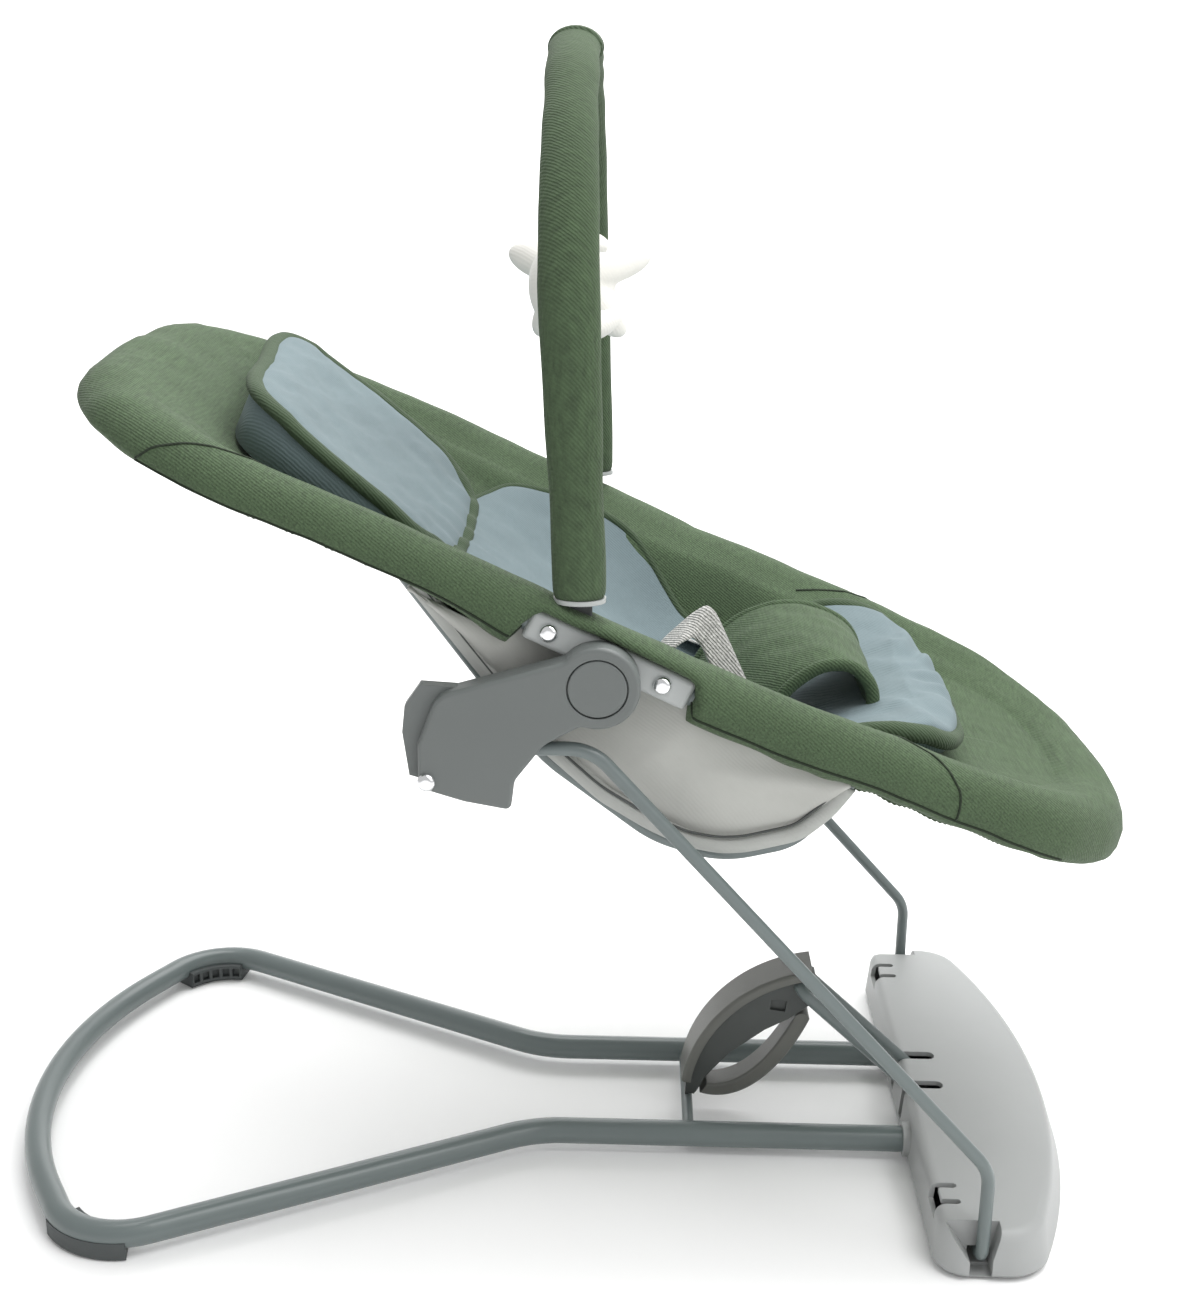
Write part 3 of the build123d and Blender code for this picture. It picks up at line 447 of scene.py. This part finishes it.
def pad(outer, spine_ends, base, side, thick, gathers, seed, skew=0.0, rings=34):
    """Top and closed grids of a pad inside an outline (u, y), on base(u, y), with sides this high."""
    middle_u = np.clip(outer[:, 0], *spine_ends)
    share = np.linspace(0, 1, rings) ** 0.75
    u = middle_u[:, None] + (outer[:, :1] - middle_u[:, None]) * share
    y = outer[:, 1:2] * share
    body = (1 - share**5) ** 0.5
    ground = base(u, y)
    raised = ground + side(u) + thick(u, y) * body
    turned = u - skew * y * np.clip((-150 - u) / 100, 0, 1)
    spot = at(turned, y, raised)
    puffs = ripple(spot, 55, seed) * 1.6 + ripple(spot, 21, seed + 1) * 0.7
    spot[..., 2] += puffs * body + gathers(u, y, share)
    low = at(turned, y, ground - 1.0)
    wall = (2 * spot[:, -1:] + low[:, -1:]) / 3
    wall[..., 1] += np.sign(outer[:, 1:2]) * 2.5
    return spot, np.concatenate([spot, wall, low[:, ::-1]], 1)


def mirrored(half, count, soften):
    """Closed outline (u, y) from the right half's corners, its ends on the middle line."""
    line = flow(half, count, soften)
    line[0, 1] = line[-1, 1] = 0
    return np.concatenate([line, line[-2:0:-1] * [1, -1]])


def pleats(u, y, share):
    low_end = np.clip((u + 190) / 70, 0, 1)
    gathered = low_end * 1.7 * np.sin(y / 5.2 + 1.6 * np.sin(u / 26)) * share
    return gathered + 0.9 * np.sin(y / 17 + u / 60) * (1 - share)


pillow_half = [(-287, 0), (-289, -66), (-283, -104), (-258, -122)]
pillow_half += [(-200, -124), (-140, -112), (-108, -82), (-104, 0)]
pillow_outline = mirrored(pillow_half, 131, 11)


def pillow_side(u):
    return 12 + 24 * np.clip((-130 - u) / 130, 0, 1)


def pillow_base(u, y):
    return hollow(u, y) + 1.5


def pillow_crown(u, y):
    return 10 + 0 * u


pillow_top, pillow_grid = pad(
    pillow_outline, (-215, -170), pillow_base, pillow_side, pillow_crown, pleats, 11, skew=0.1
)
pillow = solid("pillow", [(pillow_grid, True, False)], blue_grey, "seat")
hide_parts("head_pillow")
rimline = pillow_top[:, -1]
piping = pipe(rimline, 6.6, 5.0, closed=True)
pillow_binding = solid("pillow_binding", [(piping, True, True)], green_dark, "seat")

# --- Body insert ----------------------------------------------------------------------
# A puffy liner down the hollow; its foot end stands up as a gathered horseshoe with a
# wide green binding.
insert_half = [(-126, 0), (-124, -40), (-110, -97), (-88, -138), (-37, -151), (20, -150), (58, -140)]
insert_half += [(95, -124), (140, -126), (185, -146), (225, -142), (255, -118), (273, -70), (279, 0)]
insert_outline = mirrored(insert_half, 151, 11)


def insert_base(u, y):
    return hollow(u, y) + 1.5 + 10 * np.clip((u - 175) / 60, 0, 1)


def insert_folds(u, y, share):
    foot = np.clip((u - 190) / 50, 0, 1)
    angle = np.arctan2(y, u - 205)
    rays = foot * 4.5 * np.sin(angle * 13 + np.sin(u / 9))
    return rays * np.clip(share * 1.4 - 0.4, 0, 1) * np.clip((1 - share) * 4, 0, 1)


def insert_side(u):
    return 4 + 5 * np.clip((u - 175) / 60, 0, 1)


def insert_crown(u, y):
    return 12 + 10 * np.clip((u - 175) / 60, 0, 1)


insert_top, insert_grid = pad(
    insert_outline, (-60, 225), insert_base, insert_side, insert_crown, insert_folds, 21
)
insert = solid("insert", [(insert_grid, True, False)], blue_grey, "seat")
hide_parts("body_insert")
edge = insert_top[:, -1]
wide = 3.4 + 4.0 * np.clip((insert_outline[:, 0] - 170) / 40, 0, 1)
piping = pipe(edge, wide, wide * 0.75 + 1, closed=True)
insert_binding = solid("insert_binding", [(piping, True, True)], green_dark, "seat")

# --- Crotch band ----------------------------------------------------------------------
# A padded band of the cover's green fabric that arches over the insert between the legs,
# sewn down at both ends and open below, with rolled edges.
near_corners = [(148, -62), (148, -34), (152, -8), (164, 14), (182, 24), (199, 20), (211, 8), (216, -10)]
far_corners = [(104, -62), (106, -34), (118, -4), (138, 16), (162, 25), (190, 24), (208, 12), (216, -8)]
near_arch = flow([*near_corners, (214, -30)], 60, 7)
far_arch = flow([*far_corners, (214, -30)], 60, 8)
arch = (near_arch + far_arch) / 2
ahead = np.gradient(arch, axis=0)
ahead /= np.linalg.norm(ahead, axis=1)[:, None]
normal = np.stack([-ahead[:, 1], ahead[:, 0]], -1)
across = np.linspace(-58, 54, 30)
mix = np.linspace(0, 1, 30) ** 0.7
lines = [near_arch * (1 - m) + far_arch * m for m in mix]
outer_face = np.stack([at(line[:, 0], y, line[:, 1]) for line, y in zip(lines, across)])
outward = at(normal[:, 0], 0, normal[:, 1]) - at(0, 0, 0)
thickness = 3.0 + 1.5 * np.sin(np.pi * np.arange(30) / 29)
over = outer_face + outward[None] * thickness[:, None, None]
over[..., 2] += ripple(over, 30, 31) * 1.0
below = outer_face - outward[None] * thickness[:, None, None]
ring = np.concatenate([over, below[:, ::-1]], 1)
band_edges = [(pipe(outer_face[k], 5.0, 4.0, up=(0, 1, 0)), False, True) for k in (0, -1)]
band = solid("crotch_pad", [(ring, False, True), *band_edges], green, "seat")
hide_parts("crotch_band")

# --- Webbing --------------------------------------------------------------------------
# Coarse 25 mm webbing: a folded loop stands up beside the hollow on the baby's right, and
# the left one lies folded flat behind the crotch band.
webbing = cloth("webbing", (0.47, 0.465, 0.445), (420, 420, 420), 2.4, 1.0, 0.25)
dress("webbing", webbing)
webbing_thickness = 0.0016
for side, name in ((-1, "right"), (1, "left")):
    if side < 0:
        standing = [(44, -30), (48, -4), (56, 16), (63, 26), (72, 22), (92, 4), (112, -14), (120, -24)]
        fold = flow(standing, 60, 2)
        spot_y = np.full(60, -108.0)
        turn = np.interp(np.arange(60), (0, 20, 28, 59), (0.3, 0.5, 1.25, 1.25))
    else:
        lying = [(84, -52), (104, -50), (128, -49), (131, -45), (128, -41), (108, -42)]
        fold = flow(lying, 60, 1)
        spot_y = np.linspace(104, 84, 60)
        turn = np.full(60, 0.25)
    strip = []
    for w in np.linspace(-12.5, 12.5, 9):
        strip.append(at(fold[:, 0], spot_y - side * w * np.cos(turn), fold[:, 1] + w * np.sin(turn)))
    strip = np.stack(strip)
    loop = solid(f"webbing_{name}", [(strip, False, False)], webbing, "seat")
    shell = loop.modifiers.new("thickness", "SOLIDIFY")
    shell.thickness = webbing_thickness
    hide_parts(f"waist_strap_{name}")

# --- Bucket panel ---------------------------------------------------------------------
# Light grey cloth stretched round the hollow: a cheek each side from the rim down to a
# rolled hem on the brace, and a belly between the two hems.
panel_grey = cloth("panel grey", (0.42, 0.425, 0.40), (120, 120, 120), 0.08, 0.12, 0.1)
hem_grey = cloth("hem grey", (0.39, 0.40, 0.38), (120, 120, 120), 0.08, 0.15, 0.1)
dress("light_grey_fabric", panel_grey)
hem_corners = [(-95, 503), (-54, 449), (-9, 391), (28, 357), (60, 337), (86, 325), (107, 321), (123, 322)]
hem = flow([*hem_corners, (158, 331), (178, 349), (190, 366)], 120, 5)
hem = hem + [16, 0]
hem_y = 178.0
hub_x = 40.4
hub_z = 441.3
grids = []
for side in (-1, 1):
    u_top = np.linspace(-128, 188, 120)
    behind = np.clip((u_top + 64) / 8, 0, 1) * np.clip((80 - u_top) / 8, 0, 1)
    upper = at(u_top, side * 186, -17 + 13 * behind)
    lower = np.stack([hem[:, 0], np.full(120, side * hem_y), hem[:, 1]], -1)
    share = np.linspace(0, 1, 26)[None, :, None]
    cheek = upper[:, None] * (1 - share) + lower[:, None] * share
    bulge = np.sin(np.pi * share[..., 0]) * (5 + 2.2 * ripple(cheek, 90, 41))
    pinch = 3.4 * np.exp(-((cheek[..., 2] - 372 + 0.1 * (cheek[..., 0] - 150)) / 7) ** 2)
    pinch = pinch * np.clip((cheek[..., 0] - 100) / 60, 0, 1) * np.clip((215 - cheek[..., 0]) / 40, 0, 1)
    # drawn in behind the hub, clear of the pressed button
    hub_away = np.hypot(cheek[..., 0] - hub_x, cheek[..., 2] - hub_z)
    cheek[..., 1] += side * (bulge + pinch - 16 * np.clip(1.5 - hub_away / 44, 0, 1))
    grids.append((cheek, False, False))
belly_y = np.linspace(-hem_y, hem_y, 41)
sag = np.cos(np.pi * belly_y / (2 * hem_y)) * 5
strips = []
for y, drop in zip(belly_y, sag):
    strips.append(np.stack([hem[:, 0], np.full(120, y), hem[:, 1] + drop], -1))
belly = np.stack(strips)
belly[..., 2] += ripple(belly, 70, 43) * 1.4
# the belly stays under the padded hollow
belly_u = (belly[..., 0] - seat_x) * tilt_cos - (belly[..., 2] - seat_z) * tilt_sin
belly_h = (belly[..., 0] - seat_x) * tilt_sin + (belly[..., 2] - seat_z) * tilt_cos
excess = np.clip(belly_h - hollow(belly_u, belly[..., 1]) + 12, 0, None)
belly[..., 0] -= tilt_sin * excess
belly[..., 2] -= tilt_cos * excess
grids.append((belly, False, False))
panel = solid("bucket_cloth", grids, panel_grey, "seat")
shell = panel.modifiers.new("thickness", "SOLIDIFY")
shell.thickness = 0.0014
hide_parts("bucket_panel")
hems = []
for side in (-1, 1):
    line = np.stack([hem[:, 0], np.full(120, side * (hem_y + 2)), hem[:, 1] - 1], -1)
    hems.append((pipe(line, 6.4, 7.0, up=(0, side, 0)), False, True))
rolled = solid("bucket_hems", hems, hem_grey, "seat")
# Near-black thin lines along the upper edge of each hem: a painted shadow where the cheek cloth meets the
# rolled hem.
hem_shadow_lines = []
for side in (-1, 1):
    line = np.stack([hem[:, 0] - 2, np.full(120, side * (hem_y + 7.2)), hem[:, 1] + 6.6], -1)
    hem_shadow_lines.append((pipe(line, 1.0, up=(0, side, 0), sides=6), False, True))
hem_shadow = solid("bucket_hem_shadow", hem_shadow_lines, hard_finishes["strut_dark"], "seat")

# --- Toy bar --------------------------------------------------------------------------
# A padded green sleeve pulled over the arched core. It leans a little back, is gathered
# at the crown and stops above the pale cuffs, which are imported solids.
green_long = cloth("green melange, along", (0.048, 0.079, 0.037), (110, 800, 110), 1.6, 0.6, 0.06)
bar_radius = 186.3
bar_foot_x = 28
bar_lean = 0.028
sleeve_foot = 494
leg = 150.0
crown = np.pi * bar_radius
steps = np.linspace(0, 1, 320)
run = steps * (2 * leg + crown)
turn = np.clip((run - leg) / crown, 0, 1) * np.pi
bar_y = -bar_radius * np.cos(turn)
bar_z = sleeve_foot + np.minimum(run, leg) - np.clip(run - leg - crown, 0, leg) + bar_radius * np.sin(turn)
fuller = np.clip(1 - np.abs(bar_z - 690) / 170, 0, 1)
bar_x = bar_foot_x - bar_lean * (bar_z - sleeve_foot) - 2.5 * fuller
bar = np.stack([bar_x, bar_y, bar_z], -1)
ends = np.minimum(np.minimum(run, run[-1] - run) / 6, 1) ** 0.5
slack = 1 + 0.03 * ripple(bar, 60, 51) + 0.035 * np.sin(run / 7 + 2 * np.sin(run / 40)) * np.sin(turn) ** 4
closing = slack * (0.93 + 0.07 * ends)
sleeve_across = 12.2
sleeve_deep = 16.8 + 2.2 * fuller
sleeve_grid = pipe(bar, sleeve_across * closing, sleeve_deep * closing, up=(1, 0, 0), sides=40)
sleeve = solid("toy_bar_sleeve", [(sleeve_grid, False, True)], green_long, "toy_bar")
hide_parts("bar_sleeve")

# --- Hanging toys ---------------------------------------------------------------------
# A stuffed star with rounded arms and a stuffed crescent moon, both white, each hung on a
# green ribbon that loops round the toy bar.
toy_white = cloth("toy white", (0.87, 0.855, 0.81), (150, 150, 150), 0.06, 0.2, 0.25)
dress("toy_white", toy_white)
star_y = 26.0
moon_y = -34.0
toy_z = 673
theta = np.linspace(0, 2 * np.pi, 160, endpoint=False)
arm = np.abs(np.cos(2.5 * (theta - np.pi / 2)))
reach = 27 + 27 * arm**2.3
share = np.linspace(0, 1, 40)
puffy = 17 * (1 - share**2.6) ** 0.55
star_faces = []
for way in (1, -1):
    x = 21 + np.outer(reach * np.cos(theta), share)
    z = toy_z + np.outer(reach * np.sin(theta), share)
    slim = 1 - 0.45 * np.outer(arm**2, share**2)
    star_faces.append(np.stack([x, star_y + way * puffy[None] * slim, z], -1))
star_grid = np.concatenate([star_faces[0], star_faces[1][:, -2::-1]], 1)
star_toy = solid("soft_star", [(star_grid, True, False)], toy_white, "star")
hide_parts("star")
bend = np.linspace(np.radians(62), np.radians(322), 90)
moon_line = np.stack([29 + 27 * np.cos(bend), np.full(90, moon_y), toy_z + 28 * np.sin(bend)], -1)
body = np.sin(np.pi * np.linspace(0.02, 0.98, 90)) ** 0.62 * 18 + 0.8
crescent = pipe(moon_line, body * 0.8, body, up=(0, 1, 0), sides=28)
moon_toy = solid("soft_moon", [(crescent, False, True)], toy_white, "moon")
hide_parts("moon")
ribbon_reach = 18.2
ribbon_rise = 13.6
for name, y, toy_top in (("star", star_y, 722.0), ("moon", moon_y, 712.0)):
    high = sleeve_foot + leg + (bar_radius**2 - y**2) ** 0.5
    centre_x = bar_foot_x - bar_lean * (high - sleeve_foot)
    turn = np.linspace(0, 2 * np.pi, 60, endpoint=False)
    circle = np.stack([ribbon_reach * np.cos(turn), 0 * turn, ribbon_rise * np.sin(turn)], -1)
    circle = circle + [centre_x, 0, high]
    ribbon = np.stack([circle + [0, y + w, 0] for w in (-4, 4)])
    tail_z = np.linspace(high - ribbon_rise, toy_top - 6, 12)
    edges = [np.stack([np.full(12, centre_x), np.full(12, y + w), tail_z], -1) for w in (-4, 4)]
    grids = [(ribbon, False, True), (np.stack(edges), False, False)]
    hanger = solid(f"{name}_hanger", grids, green_dark, name, weld=0.001)
    shell = hanger.modifiers.new("thickness", "SOLIDIFY")
    shell.thickness = 0.001
    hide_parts(f"{name}_ribbon")

# --- Studio ---------------------------------------------------------------------------
# Plain pale floor and backdrop, a bright even sky, a soft key over the foot end, a fill
# from the front, a broad lamp from above and one that whitens the backdrop.
scene = bpy.context.scene
bpy.ops.mesh.primitive_plane_add(size=30, location=(0, 0, -0.0005))
floor = bpy.context.object
floor.name = "floor"
floor.data.materials.append(bpy.data.materials.new("pale floor"))
floor.data.materials[0].use_nodes = True
surface = floor.data.materials[0].node_tree.nodes["Principled BSDF"]
surface.inputs["Base Color"].default_value = (0.97, 0.97, 0.97, 1)
surface.inputs["Roughness"].default_value = 0.9
bpy.ops.mesh.primitive_plane_add(size=30, location=(0, 4.5, 0), rotation=(np.pi / 2, 0, 0))
wall = bpy.context.object
wall.name = "backdrop"
wall.data.materials.append(floor.data.materials[0])
world = bpy.data.worlds.new("studio")
scene.world = world
world.use_nodes = True
sky = world.node_tree.nodes["Background"]
sky.inputs["Color"].default_value = (1.0, 1.0, 1.0, 1)
sky.inputs["Strength"].default_value = 0.66
for name, place, aim, size, power in (
    ("key", (1.2, -0.7, 2.6), (0.0, 0.0, 0.4), 1.6, 40),
    ("fill", (2.0, -1.6, 1.6), (0.1, 0.0, 0.4), 2.0, 11),
    ("top", (0.3, 0.9, 2.6), (0.0, 0.0, 0.4), 2.2, 68),
    ("back", (0.0, 2.8, 1.8), (0.0, 4.5, 0.8), 3.0, 60),
):
    lamp = bpy.data.lights.new(name, "AREA")
    lamp.size = size
    lamp.energy = power
    light = bpy.data.objects.new(name, lamp)
    light.location = place
    way = np.array(aim) - np.array(place)
    light.rotation_euler = Vector(way).to_track_quat("-Z", "Y").to_euler()
    scene.collection.objects.link(light)
lens = bpy.data.cameras.new("camera")
lens.lens = 48.37
lens.sensor_width = 36
lens.shift_x = 0.0310
lens.shift_y = -0.0025
camera = bpy.data.objects.new("camera", lens)
camera.location = (0.05826, -1.25361, 0.81364)
camera.rotation_euler = (1.25157, -0.0021, 0.04084)
scene.collection.objects.link(camera)
scene.camera = camera
scene.view_settings.view_transform = "Standard"
